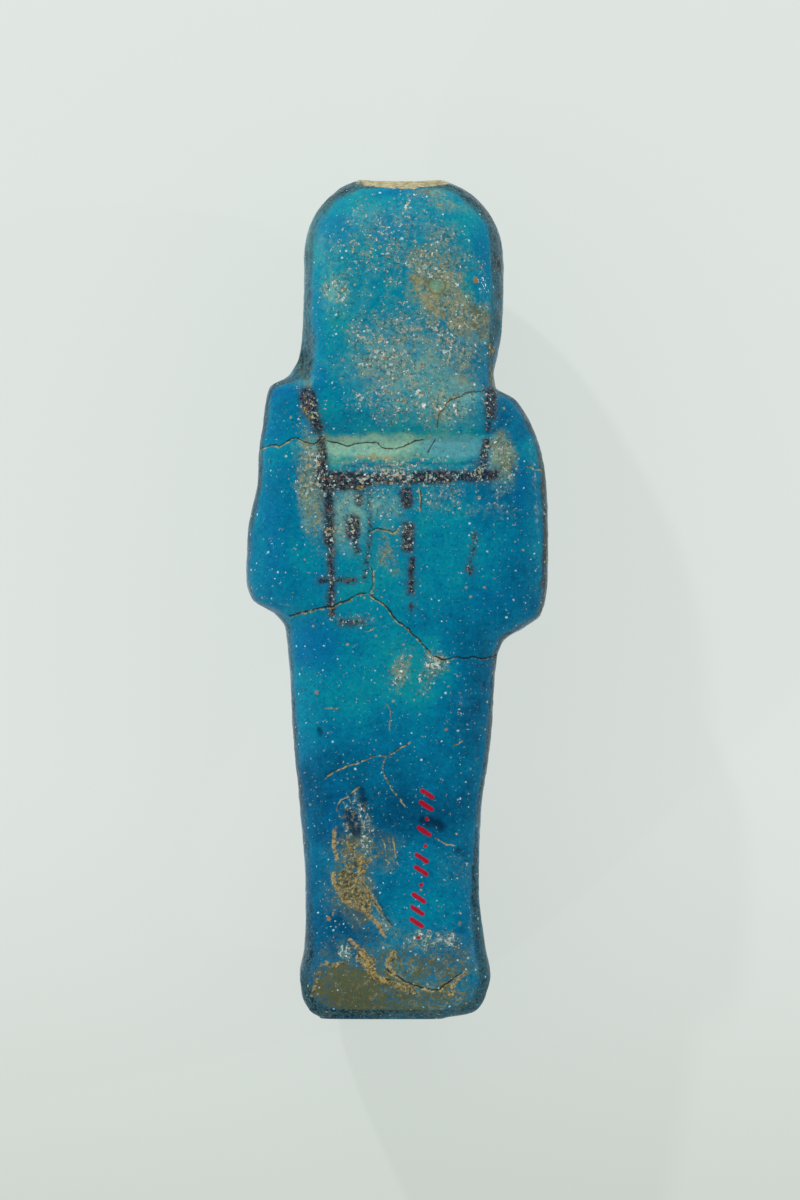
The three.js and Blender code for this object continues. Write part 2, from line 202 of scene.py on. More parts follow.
# Dark blue and black smears in the glaze: half width, points
SMEARS = [
    (0.5, [(-5, -26.4), (-4.6, -28.4)]),
    (0.8, [(-6.6, -29.8), (-5.6, -32)]),
    (0.1, [(-3.4, -40.2), (-2.4, -42.2), (-1.2, -44.2)]),
    (0.7, [(3.6, -30.4), (6, -31.4)]),
    (0.3, [(-10.8, -18), (-10.4, -18.6)]),
    (0.25, [(11.9, -11.6), (11.8, -12.2)]),
    (0.3, [(8.3, -34.6), (8.8, -35.2)]),
]

# A column of small red dabs on the lower leg: half width, points
RED_DABS = [
    (0.3, [(3.4, -26.4), (4.8, -27.3)]),
    (0.3, [(3.2, -28), (4.7, -29)]),
    (0.26, [(4, -30.3), (4.1, -30.35)]),
    (0.3, [(2.9, -31.5), (4.4, -32.5)]),
    (0.26, [(3.8, -34), (3.9, -34.05)]),
    (0.3, [(2.6, -35.2), (4.1, -36.2)]),
    (0.3, [(2.5, -36.9), (4, -37.9)]),
    (0.26, [(3.2, -39.4), (3.3, -39.45)]),
    (0.3, [(2.2, -40.7), (3.7, -41.7)]),
    (0.3, [(2, -42.4), (3.5, -43.4)]),
    (0.3, [(1.9, -44.1), (3.4, -45.1)]),
    (0.26, [(2.9, -46.6), (3, -46.65)]),
]

# Broad spots: x, y, half width, half length, amount, turn in degrees if any
TAN_SPOTS = [
    (-7, -39.4, 2, 2.6, 0.85, 10),
    (-5, -41.4, 2.8, 1.4, 0.8, -45),
    (-6.4, -36.8, 1.8, 1.6, 0.75),
    (-7.2, -34.6, 1.7, 3, 0.52, 10),
    (-4.8, -36.6, 1.3, 2.4, 0.6),
    (-2.4, -35.6, 0.9, 2.4, 0.5, -10),
    (-8.6, -50.6, 2.8, 0.5, 0.7, 10),
    (-11.2, -53.2, 0.5, 2.4, 0.65, -20),
    (-4.2, -49.9, 0.7, 2.4, 0.9, 38),
    (-2.1, -52.6, 2.6, 0.45, 0.85, -14),
    (1.2, -53.6, 1.9, 0.6, 0.85),
    (6.6, -53.9, 2.4, 0.4, 0.7, 16),
    (-0.4, -49.4, 0.4, 1.2, 0.7, -20),
    (12.8, 34.8, 1, 1, 0.6, -20),
    (13.3, 30.8, 0.6, 2.4, 0.6, 8),
    (-4.9, 15.5, 0.35, 0.9, 0.95),
    (-12.6, 25.6, 0.8, 1.2, 0.6, 20),
]
WORN_SPOTS = [(0.9, 57.8, 6.9, 1.3, 1), (8.6, 56.4, 2, 0.4, 0.6, -22)]
OCHRE_SPOTS = [
    (5.4, 43.4, 3.4, 3.6, 1.2),
    (3.6, 46.6, 2.4, 2.2, 0.7),
    (7, 46.8, 2.4, 2.4, 0.55),
    (6.4, 40.4, 3.2, 2.2, 1.1, -20),
    (9.6, 38.6, 3.8, 2.4, 1.15, -30),
    (6, 49.4, 4, 1.6, 0.4, -20),
    (-8, 22.3, 3.6, 0.4, 0.6, 2),
    (-2.6, 19.1, 7, 0.5, 0.6, 1),
    (8.6, 32, 2, 4, 0.55, 10),
    (-3, 31.4, 3, 3, 0.5),
    (0, -55, 13, 3.6, 0.9),
    (3, -50.4, 9, 3, 0.75),
    (-8, -49, 3.4, 2.6, 0.5),
    (6, -50, 7, 4, 0.5),
    (-2, -46.8, 5, 3, 0.4),
    (11.4, -46, 1.6, 9, 0.5),
    (12.4, -53.4, 1.4, 4, 0.6),
    (-11.6, 14.6, 1.9, 6.2, 0.7, 4),
    (-9.4, 10.4, 3.4, 4.4, 0.4),
    (-12.6, 20.2, 1.2, 2, 0.7),
    (14.5, 19.6, 1.7, 3.6, 0.95, 2),
    (3, -50.6, 4.6, 1, 0.7, -12),
    (5.8, -51.6, 1.6, 0.9, 0.8),
    (-6, -53.9, 5.8, 3.2, 1.8),
    (-6.4, -40, 3.2, 5, 0.8, 20),
    (-5.6, -34.8, 3.8, 4, 0.65),
    (-1.6, -35, 2.4, 3, 0.5),
    (-13, 31.4, 1.2, 2.6, 0.7),
    (3, 33, 8, 6.4, 0.42),
    (5.6, 26.2, 1.6, 2.8, 0.6, -20),
    (0, 9.4, 2.6, 0.6, 0.6),
    (-1.6, 6, 1, 3, 0.5, 25),
    (-14.6, -36, 1, 3.6, 0.5),
    (6, 54.6, 4, 1.6, 0.5, -14),
    (0.4, -9.8, 1, 2.4, 0.5, -15),
    (4.8, -8.8, 1.6, 1.8, 0.5, 20),
]
PALE_SPOTS = [
    (-3.8, 21, 8.2, 1.5, 1.35, 1),
    (-8.5, 41.7, 2, 2.6, 0.5),
    (-9.8, 48, 2, 4, 0.35),
    (0, 32, 7, 5, 0.5),
    (6.6, 27, 5, 4, 0.6),
    (5.5, 42.8, 0.9, 0.9, 1.2),
    (-6.6, 11, 2.6, 4.6, 0.65),
    (-2, 12.4, 3.4, 2, 0.5),
    (14.2, 19, 1.8, 3.6, 0.8),
    (-12.2, 14, 1.4, 5, 0.6),
]
LIGHT_SPOTS = [
    (8.2, 20.9, 5, 1.5, 1.4, 1),
    (-0.5, 51, 7, 3.4, 0.4),
    (2.4, 30.4, 9, 6, 0.5),
    (-2, 36, 6, 3, 0.45),
    (10.5, 35.8, 2.2, 1, 0.9),
    (-4.5, 42, 1.4, 6, 0.4, -20),
]
BLUE_SPOTS = [
    (-8.6, 50.6, 3.4, 3, 0.7, 10),
    (-1.6, 50.4, 3.2, 2.4, 0.6),
    (0.6, 40, 1.6, 4, 0.4),
    (-11.4, 40, 1.2, 8, 0.6),
    (-17, 9, 2.4, 9, 0.6),
    (-10.6, 30.2, 1.6, 3.2, 0.7),
    (-16.4, 28.4, 3.2, 1, 0.7),
    (-16.6, 22.6, 2.4, 2.4, 0.5),
    (-15.4, 18, 1.6, 1.4, 0.5),
    (-10.6, 2.4, 2, 2.8, 0.6),
    (-11, -6, 3.4, 4, 0.75, 20),
    (17, 15.4, 1.4, 3.8, 0.7),
    (13, 14, 2, 1.6, 0.4),
    (14, -0.4, 4.6, 2.4, 0.5),
    (9.4, -15, 3, 4, 0.45),
    (12, 47, 1.4, 6, 0.6),
    (-8.6, -29, 1.8, 6, 0.55),
    (0, -20, 9, 2, 0.45, -6),
    (9, -40, 2, 5, 0.4),
    (0.5, 56, 5, 1, 0.7),
]
SPECK_AND_GLINT_SPOTS = [
    (-1, 48, 8, 6.4, 0.7),
    (5.6, 46, 4.6, 4.6, 1),
    (8.8, 39, 4.2, 3.2, 1, -20),
    (1.4, 34, 9.6, 6, 0.95),
    (3, 27.4, 8, 3.6, 1),
    (-8.4, 41.6, 2.4, 3, 1),
    (-0.8, 43.4, 2.4, 2.8, 0.6),
    (7, 14.4, 3.2, 2.4, 0.7),
    (-3, 13.4, 8, 3.2, 0.6),
    (-6.6, 9.8, 3.6, 3.2, 0.5),
    (-1, 8.6, 3, 3, 0.4),
    (9.6, -15.6, 2.4, 5, 0.3),
    (0.4, -9.8, 1.2, 3, 1.2, -15),
    (4.8, -8.8, 1.7, 2.4, 1.2, 20),
    (3.4, -11.6, 1.2, 1.6, 0.9),
    (-6, -3, 3, 1.2, 0.45),
    (-5.6, -30.8, 1.9, 3, 1.3),
    (-5.4, -35, 3, 3, 0.75),
    (-6.4, -40.4, 3, 3.6, 0.85),
    (-2.4, -44, 3, 1.2, 0.8, -50),
    # The next two spots paint white glints on the foot as specks.
    (5, -47, 3.6, 1.2, 1.2),
    (-7, -48.4, 0.9, 1.6, 1.2),
    (8, -38, 3.4, 6, 0.3),
    (-12.2, 16.2, 1.7, 6.6, 0.95, 4),
    (14.4, 18.6, 2, 4.6, 0.95),
    (12.6, 12.6, 4, 2, 0.55),
    (1, 17.6, 13, 1.5, 0.95),
    (-12, 26.4, 1.3, 2.2, 0.6, 20),
    (1.6, 54, 0.25, 1.2, 1.2, -6),
]
RIGHT_GRIME_AND_SHADE_SPOTS = [  # rough brown-black dirt and painted shade down the right side
    (20.4, 8, 2.8, 13, 0.95, 3),
    (14.6, 42, 1.2, 12, 0.6),
    (13.4, -40, 2, 18, 0.5),
]

# Dark blue streaks: half width, points
STREAKS = [
    (0.16, [(-7.5, 18.1), (-3, 18.4), (0, 18)]),
    (0.14, [(1.6, 18.7), (7, 18.5), (12, 19)]),
    (0.12, [(-6, 17.5), (-2.6, 17.4)]),
]

# Tan ridges of crust: half width, points
RIDGES = [
    (0.22, [(-9, -37.8), (-8.4, -39.8), (-7.2, -41.6), (-5.6, -42.6), (-4, -43.4), (-2.6, -45),
            (-1.9, -46.4)]),
    (0.2, [(-5.2, -35.6), (-5, -37.8), (-4.4, -39.8), (-3.4, -41.6), (-2.2, -43.4)]),
    (0.18, [(-8.6, -31.6), (-8.8, -34), (-8.2, -36)]),
    (0.25, [(-6.6, -47.2), (-4.6, -49), (-3.6, -51.4), (-1.6, -52.6)]),
    (0.2, [(-0.6, -48.6), (-1.4, -50.4), (-0.2, -51.8)]),
    (0.2, [(7.6, -53.4), (8.8, -52.2), (9.4, -51.4)]),
]
FURROW = [(-4.6, -38.4), (-3.6, -41), (-2.2, -42.8), (-1, -44.8)]  # scraped through the crust
RING = dict(x=5.4, y=42.9, radius=1.15)

# Tone of the glaze, from 0, deep blue, over 0.5, bright blue, to 1, pale green:
# x, y, half width, half length, tone
TONE_ELSEWHERE = dict(tone=0.46, weight=0.08)
TONES = [
    (0.5, 43, 8, 10, 0.6),
    (-9.8, 42, 2.2, 8, 0.66),
    (-10.2, 33, 2.6, 4, 0.52),
    (0, 54, 8, 3.4, 0.6),
    (-9.4, 52, 3, 3, 0.72),
    (12, 46, 2.4, 7, 0.5),
    (4, 31, 8, 6, 0.62),
    (11.8, 33, 2.2, 4, 0.42),
    (-15, 24, 3.4, 4, 0.4),
    (-17, 9, 3, 11, 0.42),
    (-10.6, 29, 2, 3, 0.62),
    (-8, 5, 5, 6, 0.56),
    (2, 8, 8, 7, 0.56),
    (14.6, 6, 4, 10, 0.36),
    (10, -2, 5, 3, 0.36),
    (0.5, 20.8, 12, 1.6, 0.86),
    (-9, -8, 4, 5, 0.44),
    (-8, -16, 4, 4, 0.46),
    (1, -11, 6, 5, 0.68),
    (9.4, -15, 3.2, 9, 0.28),
    (1, -18, 9, 3, 0.42),
    (2, -25, 6, 3, 0.36),
    (4, -30, 4, 3, 0.1),
    (-4, -28, 3, 3, 0.16),
    (-9, -26, 3, 6, 0.22),
    (3, -41, 6, 6, 0.4),
    (-8, -46, 4, 3, 0.16),
    (5, -52, 9, 4, 0.42),
    (-6, -54, 6, 3, 0.3),
    (16, 26, 3, 4, 0.3),
    (10.6, -40, 2.4, 10, 0.36),
    (-11.6, -46, 2, 6, 0.12),
]
PITS = [  # x, y, radius, depth
    (-10.6, -18.3, 0.55, 0.35),
    (11.9, -11.8, 0.45, 0.3),
    (8.5, -34.8, 0.6, 0.3),
    (-5.2, -26, 0.6, 0.3),
    (6.6, -17.9, 0.3, 0.15),
    (10.6, 43.8, 0.5, -0.2),
    (11.4, 45.6, 0.35, -0.15),
    (-11.1, -12.9, 0.35, -0.15),
    (8.5, -44.7, 0.35, -0.15),
    (-9.4, -44.1, 0.4, -0.2),
]
DOTS = [  # small tan or orange dots: x, y, radius
    (10.6, 43.8, 0.4),
    (11.4, 45.6, 0.22),
    (-11.1, -12.9, 0.22),
    (6.6, -17.9, 0.2),
    (8.5, -44.7, 0.2),
    (-9.4, -44.1, 0.26),
]

# Painted details of the front: half width, strength, points
FRONT_PAINT = [
    (0.5, 1, [(-5, 41.2), (-3.6, 42), (-1.6, 41.6)]),
    (0.5, 1, [(6.6, 41.2), (5.2, 42), (3.2, 41.6)]),
    (0.4, 1, [(-5.4, 44.2), (-3.6, 44.9), (-1.4, 44)]),
    (0.4, 1, [(7, 44.2), (5.2, 44.9), (3, 44)]),
    (0.5, 0.9, [(-8, 49.4), (0.8, 50.4), (9.6, 49.4)]),
    (0.45, 0.8, [(-6.6, 13.6), (-7.6, 21), (-8.2, 26.5)]),
    (0.45, 0.8, [(6.6, 13.6), (7.8, 21), (8.6, 26.5)]),
    (0.3, 0.8, [(-4, -6), (-4.4, -46)]),
    (0.3, 0.8, [(3, -6), (2.6, -46)]),
]
TEXT_ROWS = dict(top=-8.5, bottom=-44, count=15, left=-3, right=1.7, columns=3, half_width=0.22, strength=0.9)

# Relief of the wear
CRUST_HEIGHT = 0.1
RIDGE_HEIGHT = 0.16
CROWN_CHIP = (0.9, 17, 8, 8.5)  # x, height, half width, half height
CRACK_GROOVE = dict(depth=0.16, wide=0.3, reach=0.26, thinnest=0.02)
FURROW_GROOVE = dict(depth=0.25, reach=0.6)
FOOT_RECESS = [(3.4, -51, 5, 1.6, 0.5, -12)]
FOOT_LIP = [(4.6, -54.4, 5, 0.8, 0.25)]
FEET = (-50, -20)  # from this y down it is all feet, and from that y up it is none
FADE = 0.6  # the relief fades out over this much before the foot base and the floor
OUTSIDE = 2.0  # how far outside a stroke nothing of it shows


def smooth(low, high, value):
    t = np.clip((value - low) / (high - low), 0, 1)
    return t * t * (3 - 2 * t)


def curve(rows, column, station):
    """A smooth curve through rows of numbers that never overshoots them: column 0 is the station."""
    table = np.array(rows, float)
    at, values = table[:, 0], table[:, column]
    step = np.diff(at)
    slopes = np.diff(values) / step
    tangents = np.zeros(len(at))
    before, after = slopes[:-1], slopes[1:]
    same = before * after > 0
    tangents[1:-1][same] = 2 * before[same] * after[same] / (before + after)[same]
    s = np.clip(station, at[0], at[-1])
    i = np.clip(np.searchsorted(at, s, "right") - 1, 0, len(step) - 1)
    t = (s - at[i]) / step[i]
    return (
        values[i] * (1 + 2 * t) * (1 - t) ** 2
        + tangents[i] * step[i] * t * (1 - t) ** 2
        + values[i + 1] * t * t * (3 - 2 * t)
        + tangents[i + 1] * step[i] * t * t * (t - 1)
    )


def crown_share(station):
    t = np.clip((station - CROWN["start"]) / (CROWN["end"] - CROWN["start"]), 0, 1)
    return (1 - t ** CROWN["power"]) ** (1 / CROWN["power"])


def turned(x, y, spot_x, spot_y, wide, long, degrees=0):
    """Distance from a spot's middle, in half widths of the spot."""
    c, s = math.cos(math.radians(degrees)), math.sin(math.radians(degrees))
    dx, dy = x - spot_x, y - spot_y
    return np.hypot((dx * c + dy * s) / wide, (dy * c - dx * s) / long)


def mound(x, y, out, at, wide, long, height, degrees=0):
    return height * np.maximum(0, 1 - turned(x, y, out, at, wide, long, degrees) ** 2) ** 1.5


def nose_relief(x, station):
    down = np.clip((NOSE["bridge"] - station) / (NOSE["bridge"] - NOSE["tip"]), 0, 1)
    width = NOSE["bridge_width"] + down * (NOSE["tip_width"] - NOSE["bridge_width"])
    under = smooth(NOSE["base"], NOSE["tip"], station)
    return NOSE["height"] * down**0.8 * under * np.exp(-((x / width) ** 2))


def face_relief(x, station):
    height = nose_relief(x, station)
    for feature in FACE_SINGLES:
        height = height + mound(x, station, *feature)
    for feature in FACE_PAIRS:
        height = height + mound(np.abs(x), station, *feature)
    return height


def wig_opening(x, station):
    across = np.abs(x / FACE["half_width"]) ** FACE["power"]
    along = np.abs((station - FACE["station"]) / FACE["half_length"]) ** FACE["power"]
    rim = WIG_FRONT["edge"] / FACE["half_width"] / 2
    face = 1 - smooth(1 - rim, 1 + rim, (across + along) ** (1 / FACE["power"]))
    gap = 1 - smooth(WIG_FRONT["lappet_gap"], WIG_FRONT["lappet_gap"] + WIG_FRONT["edge"], np.abs(x))
    below = 1 - smooth(WIG_FRONT["neck"], WIG_FRONT["neck"] + WIG_FRONT["edge"], station)
    return np.maximum(face, gap * below)


def wig_relief(x, station):
    edge = WIG_FRONT["edge"]
    side = 1 - smooth(WIG_FRONT["lappet_side"], WIG_FRONT["lappet_side"] + edge, np.abs(x))
    lappets = side * smooth(WIG_FRONT["lappet_end"], WIG_FRONT["lappet_end"] + edge, station)
    covered = np.maximum(lappets, smooth(WIG_FRONT["neck"] - edge, WIG_FRONT["neck"] + edge, station))
    return WIG_FRONT["rise"] * covered * (1 - wig_opening(x, station))


def limb_relief(x, station, start, end, radius, height):
    run = (end[0] - start[0], end[1] - start[1])
    t = ((x - start[0]) * run[0] + (station - start[1]) * run[1]) / (run[0] ** 2 + run[1] ** 2)
    t = np.clip(t, 0, 1)
    away = np.hypot(x - start[0] - t * run[0], station - start[1] - t * run[1]) / radius
    return height * np.maximum(0, 1 - away**2) ** 0.9


def front_relief(offset, station):
    """How far the carving stands out of the front."""
    x = offset - curve(MIDDLE, 1, station)
    limbs = np.zeros_like(x)
    for arm in ARMS:
        limbs = np.maximum(limbs, limb_relief(x, station, *arm))
    for out, at, radius, height in FISTS:
        away = np.hypot(x - out, station - at) / radius
        limbs = np.maximum(limbs, height * np.maximum(0, 1 - away**3) ** 0.9)
    shins = smooth(SHIN_DIP["start"], SHIN_DIP["start"] + 5, station)
    shins = shins * (1 - smooth(SHIN_DIP["end"] - 8, SHIN_DIP["end"], station))
    dip = SHIN_DIP["depth"] * shins * np.exp(-((x / SHIN_DIP["half_width"]) ** 2))
    return face_relief(x, station) + wig_relief(x, station) + limbs - dip - mound(x, station, *NECK)


def back_relief(x, station):
    """How far the wig stands out of the back, less the hollow under it and the fall of the shoulders."""
    bottom = WIG_PANEL["bottom"] + WIG_PANEL["tilt"] * x
    for height, rate, shift in WIG_WAVES:
        bottom = bottom + height * np.sin(x * rate + shift)
    left, right, edge = WIG_PANEL["left"], WIG_PANEL["right"], WIG_PANEL["edge"]
    ledge = sum(share * smooth(bottom, bottom + run, station) for share, run in WIG_LEDGE)
    panel = ledge * smooth(left - edge, left, x) * (1 - smooth(right, right + edge, x))
    across = 1 - smooth(0.75, 1, np.abs((x - HOLLOW["middle"]) / HOLLOW["half_width"]))
    hollow = across * np.maximum(0, 1 - ((station - HOLLOW["station"]) / HOLLOW["half_length"]) ** 2)
    top = smooth(SHOULDER_TOP["station"], SHOULDER_TOP["station"] + SHOULDER_TOP["length"], station)
    away = np.abs(x - curve(MIDDLE, 1, station))
    outside = smooth(SHOULDER_TOP["inner"], SHOULDER_TOP["inner"] + 2 * edge, away)
    past = 1 - smooth(SHOULDER_TOP["end"], SHOULDER_TOP["gone"], station)
    fall = SHOULDER_TOP["fall"] * top * outside * past
    return WIG_PANEL["rise"] * panel - HOLLOW["depth"] * hollow - fall


def section(station, turn, carved):
    """Points of the sections: turn runs from 0 at the left, over the back to 1, and round the front to 2."""
    share = crown_share(station)
    angle = np.pi * turn
    left = np.cos(angle) > 0
    on_back = turn <= 1
    back_power = np.where(left, curve(SQUARENESS, 1, station), curve(SQUARENESS, 2, station))
    power = np.where(on_back, back_power, curve(SQUARENESS, 3, station))
    half = np.where(left, -curve(OUTLINE, 1, station), curve(OUTLINE, 2, station))
    x = half * share * np.abs(np.cos(angle)) ** (2 / power)
    up = np.abs(np.sin(angle)) ** (2 / power)
    level = CROWN["level"]
    widest = level + share * (curve(PROFILE, 2, station) - level)
    line = np.where(on_back, curve(PROFILE, 1, station), curve(PROFILE, 3, station))
    reach = level + share * (line - level) - widest
    relief = 0
    if carved:
        relief = np.where(on_back, back_relief(x, station), -front_relief(x, station))
        relief = relief * np.minimum(1, share * 1.5)
    return x, np.maximum(0, widest + up * (reach + relief))


def grid():
    """The sections' points as arrays of x, station and height in parts, and a mask of the back."""
    stations = np.zeros(1)
    for end, steps in BANDS:
        stations = np.append(stations, np.linspace(stations[-1], end, steps + 1)[1:])
    turns = []
    for front, steps in ((0, BACK_STEPS), (1, FRONT_STEPS)):
        fine = front + np.linspace(0, 1, FINE_STEPS + 1)
        s, t = np.meshgrid(stations, fine, indexing="ij")
        x, z = section(s, t, False)
        away = np.abs(x - curve(MIDDLE, 1, s)) / (FACE["half_width"] + 1)
        on_face = front * smooth(60, 70, s) * (1 - smooth(0.8, 1.2, away))
        step = np.hypot(np.diff(x, axis=1), np.diff(z, axis=1)) * (1 + on_face[:, 1:] * (FACE_CLOSER - 1))
        travelled = np.hstack([np.zeros((len(s), 1)), np.cumsum(step, axis=1)])
        wanted = np.arange(steps) / steps
        turns.append(np.array([np.interp(wanted * row[-1], row, fine) for row in travelled]))
    turn = np.hstack(turns)
    station = np.repeat(stations[:, None], turn.shape[1], axis=1)
    x, z = section(station, turn, True)
    cut = WORN_CROWN["station"] - WORN_CROWN["slope"] * np.maximum(0, z - WORN_CROWN["level"])
    return x, np.minimum(station, cut), z, turn < 1


def lumps(points, size, seed):
    """Smooth noise from -1 to 1, with lumps of about this size in millimetres."""
    lattice = np.random.default_rng(seed).uniform(-1, 1, (32, 32, 32))
    cell = np.floor(points / size).astype(int)
    t = points / size - cell
    t = t * t * (3 - 2 * t)
    total = np.zeros(points.shape[:-1])
    for corner in np.ndindex(2, 2, 2):
        weight = np.prod(np.where(np.array(corner, bool), t, 1 - t), axis=-1)
        i, j, k = np.moveaxis((cell + corner) % 32, -1, 0)
        total += weight * lattice[i, j, k]
    return total


def layered(value, points, *layers):
    """The value with layers of lumps added to it: their size, seed and height."""
    for size, seed, amount in layers:
        value = value + amount * lumps(points, size, seed)
    return value


def to_line(x, y, points):
    """Distance to a line through points, signed by the side of it, and how far along it as a share."""
    best = np.full(x.shape, np.inf)
    signed = np.zeros(x.shape)
    share = np.zeros(x.shape)
    lengths = [math.dist(a, b) for a, b in zip(points, points[1:])]
    passed = 0
    for (ax, ay), (bx, by), length in zip(points, points[1:], lengths):
        ux, uy = (bx - ax) / length, (by - ay) / length
        t = np.clip((x - ax) * ux + (y - ay) * uy, 0, length)
        dx, dy = x - ax - t * ux, y - ay - t * uy
        away = np.hypot(dx, dy)
        nearer = away < best
        best = np.where(nearer, away, best)
        signed = np.where(nearer, np.sign(ux * dy - uy * dx) * away, signed)
        share = np.where(nearer, (passed + t) / sum(lengths), share)
        passed += length
    return best, signed, share


def paint_field(x, y, strokes):
    """How far inside the painted strokes a point is, and the strength of the nearest one."""
    inside = np.full(x.shape, -OUTSIDE)
    strength = np.zeros(x.shape)
    for half, amount, points in strokes:
        depth = half - to_line(x, y, points)[0]
        strength = np.where(depth > inside, amount, strength)
        inside = np.maximum(inside, depth)
    return inside, strength


def strokes_field(x, y, strokes):
    """How far inside the strokes a point is, in millimetres."""
    return paint_field(x, y, [(half, 1, points) for half, points in strokes])[0]


def spots_field(x, y, spots):
    """The largest amount of the spots that cover a point, fading from each spot's middle to its edge."""
    found = np.zeros(x.shape)
    for spot_x, spot_y, wide, long, amount, *turn in spots:
        away = turned(x, y, spot_x, spot_y, wide, long, *turn)
        found = np.maximum(found, amount * np.exp(-0.7 * away**3) * (1 - smooth(1.2, 1.9, away)))
    return found


def tone_field(x, y):
    weight = np.full(x.shape, TONE_ELSEWHERE["weight"])
    total = weight * TONE_ELSEWHERE["tone"]
    for spot_x, spot_y, wide, long, tone in TONES:
        w = np.exp(-(turned(x, y, spot_x, spot_y, wide, long) ** 2))
        weight += w
        total += w * tone
    return total / weight


def crack_fields(x, y):
    """Signed distance to the nearest crack, the crack's width there, and how much tan shows along it."""
    best = np.full(x.shape, np.inf)
    side = np.ones(x.shape)
    width = np.zeros(x.shape)
    rim = np.zeros(x.shape)
    for wide, tan, points in CRACKS:
        away, signed, share = to_line(x, y, points)
        nearer = away < best
        best = np.where(nearer, away, best)
        side = np.where(nearer, signed, side)
        taper = smooth(0, 0.06, share) * (1 - smooth(0.94, 1, share))
        near = 1 - smooth(0.7, 1.1, away)
        width = np.where(nearer, wide * (0.35 + 0.65 * taper) * near, width)
        rim = np.where(nearer, tan * near * taper, rim)
    return np.clip(side, -1.5, 1.5), width, rim


def text_strokes():
    """Rows of short strokes and dabs that stand for the painted text, and are no letters."""
    choice = np.random.default_rng(41)
    strokes = []
    for row in np.linspace(TEXT_ROWS["top"], TEXT_ROWS["bottom"], TEXT_ROWS["count"]):
        for x in np.linspace(TEXT_ROWS["left"], TEXT_ROWS["right"], TEXT_ROWS["columns"]):
            dx, dy = choice.uniform(0.2, 0.7), choice.uniform(-0.7, 0.7)
            x, y = x + choice.uniform(-0.2, 0.2), row + choice.uniform(-0.3, 0.3)
            ends = [(x - dx, y - dy), (x + dx, y + dy)]
            strokes.append((TEXT_ROWS["half_width"], TEXT_ROWS["strength"], ends))
    return strokes


def normals_of(points):
    along = np.gradient(points, axis=0)
    around = np.roll(points, -1, axis=1) - np.roll(points, 1, axis=1)
    normals = np.cross(around, along)
    return normals / np.maximum(np.linalg.norm(normals, axis=-1, keepdims=True), 1e-9)


def side_crinkle_and_shade(points, up, station):
    """How much of the crinkled side glaze, darkened as painted shade, a point has, from how far its normal
    points up.
    """
    feet = 1 - smooth(*FEET, points[..., 1])
    steep = 1 - smooth(0.3 + 0.3 * feet, 0.8 + 0.18 * feet, np.abs(up))
    upper_half = 0.4 + 0.6 * smooth(-0.2, 0.25, up)
    steep *= upper_half * layered(0.85, points, (10, 8, 0.4))
    foot_base = 1 - smooth(0.5, 1.5, station)
    return np.maximum(steep, 0.6 * foot_base)


def grooves(side, width):
    """Depth of the cracks, from the distance to the nearest and its width."""
    depth = CRACK_GROOVE["depth"] * (width / CRACK_GROOVE["wide"])
    depth = depth * np.exp(-((side / CRACK_GROOVE["reach"]) ** 2))
    return np.where(width > CRACK_GROOVE["thinnest"], depth, 0)


def pits_and_knobs(x, y):
    depth = np.zeros_like(x)
    for pit_x, pit_y, radius, deepest in PITS:
        depth += deepest * np.exp(-(((x - pit_x) ** 2 + (y - pit_y) ** 2) / radius**2))
    return depth


